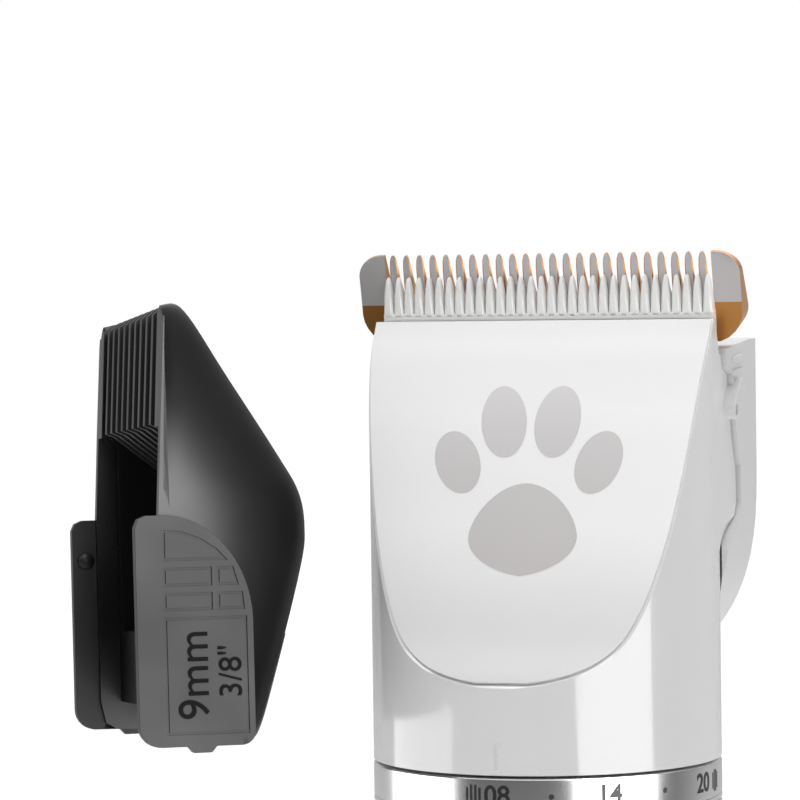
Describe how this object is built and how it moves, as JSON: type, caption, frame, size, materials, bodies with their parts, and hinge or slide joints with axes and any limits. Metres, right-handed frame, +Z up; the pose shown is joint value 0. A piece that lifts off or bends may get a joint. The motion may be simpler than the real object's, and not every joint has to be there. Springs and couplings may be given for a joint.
{
  "type": "electric pet clipper",
  "caption": "Cordless pet clipper with a round body, scooped face, snap-off blade set, cutting-length ring, push button and a separate clip-on guide comb.",
  "frame": {"origin": "middle of the flat base that the clipper stands on", "axes": "+Z up the body towards the blades, -Y the scooped front face, +X to the right when the face is looked at"},
  "size_m": [0.0849, 0.0651, 0.1762],
  "materials": {
    "white_body": "glossy moulded ABS",
    "white_face": "satin moulded ABS with a grey print",
    "white_bracket": "satin moulded plastic",
    "gold_blade": "titanium-nitride coated steel, ground front face",
    "white_ceramic": "polished zirconia",
    "satin_chrome": "satin",
    "bright_steel": "bright",
    "brass_cam": "turned",
    "grey_nylon": "matte",
    "black_comb": "satin moulded nylon",
    "black_part": "matte",
    "red_wire": "smooth",
    "battery_wrap": "shrink film",
    "circuit_board": "solder mask",
    "clear_lens": "frosted"
  },
  "bodies": {
    "clipper": {"head_shell": "white_body", "face_panel": "white_face", "handle_front": "white_body", "handle_back": "white_body", "end_cap": "white_body", "chassis": "grey_nylon", "click_spring": "bright_steel", "motor": "bright_steel", "motor_plate": "bright_steel", "motor_screw_left": "bright_steel", "motor_screw_right": "bright_steel", "shell_screw_upper": "bright_steel", "shell_screw_lower": "bright_steel", "circuit_board": "circuit_board", "power_switch": "black_part", "lamp_lens": "clear_lens", "battery": "battery_wrap", "battery_tab_lower": "bright_steel", "battery_tab_upper": "bright_steel", "motor_lead_left": "red_wire", "motor_lead_right": "black_part", "charging_socket": "black_part", "charging_pin": "bright_steel"},
    "ring": {"length_ring": "satin_chrome", "cam_sleeve": "grey_nylon"},
    "collar": {"lift_collar": "grey_nylon"},
    "drive": {"motor_shaft": "bright_steel", "drive_cam": "brass_cam"},
    "button": {"power_button": "satin_chrome"},
    "blade_set": {"fixed_blade": "gold_blade", "blade_bracket": "white_bracket", "blade_screw_left": "bright_steel", "blade_screw_right": "bright_steel"},
    "cutter_carrier": {"cutter_guide": "grey_nylon", "blade_spring": "bright_steel"},
    "cutter": {"moving_blade": "white_ceramic", "cutter_fork": "grey_nylon"},
    "comb": {"guide_comb": "black_comb"}
  },
  "joints": [
    {"name": "ring_turn", "type": "hinge", "parent": "clipper", "child": "ring", "pos_m": [0, 0, 0.112], "axis": [0, 0, 1], "range_deg": [-78, 0]},
    {"name": "collar_lift", "type": "slide", "parent": "clipper", "child": "collar", "axis": [0, 0, 1], "range_m": [-0.0012, 0]},
    {"name": "drive_spin", "type": "hinge", "parent": "clipper", "child": "drive", "pos_m": [0, 0, 0.1247], "axis": [0, 0, 1], "continuous": true},
    {"name": "power_press", "type": "slide", "parent": "clipper", "child": "button", "axis": [0, 1, 0], "range_m": [0, 0.0009], "stiffness_N_per_m": 400},
    {"name": "blade_set_release", "type": "hinge", "parent": "clipper", "child": "blade_set", "pos_m": [0, 0.022, 0.1249], "axis": [-1, 0, 0], "range_deg": [0, 40]},
    {"name": "cutter_lift", "type": "slide", "parent": "blade_set", "child": "cutter_carrier", "axis": [0, -0.2588, 0.9659], "range_m": [-0.0012, 0]},
    {"name": "cutter_stroke", "type": "slide", "parent": "cutter_carrier", "child": "cutter", "axis": [1, 0, 0], "range_m": [-0.00125, 0.00125]},
    {"name": "comb_place", "type": "slide", "parent": "clipper", "child": "comb", "axis": [-1, 0, 0], "range_m": [0, 0.03]}
  ],
  "couplings": [
    {"joint": "collar_lift", "follows": "ring_turn", "m_per_rad": 0.00088},
    {"joint": "cutter_lift", "follows": "ring_turn", "m_per_rad": 0.00088}
  ]
}
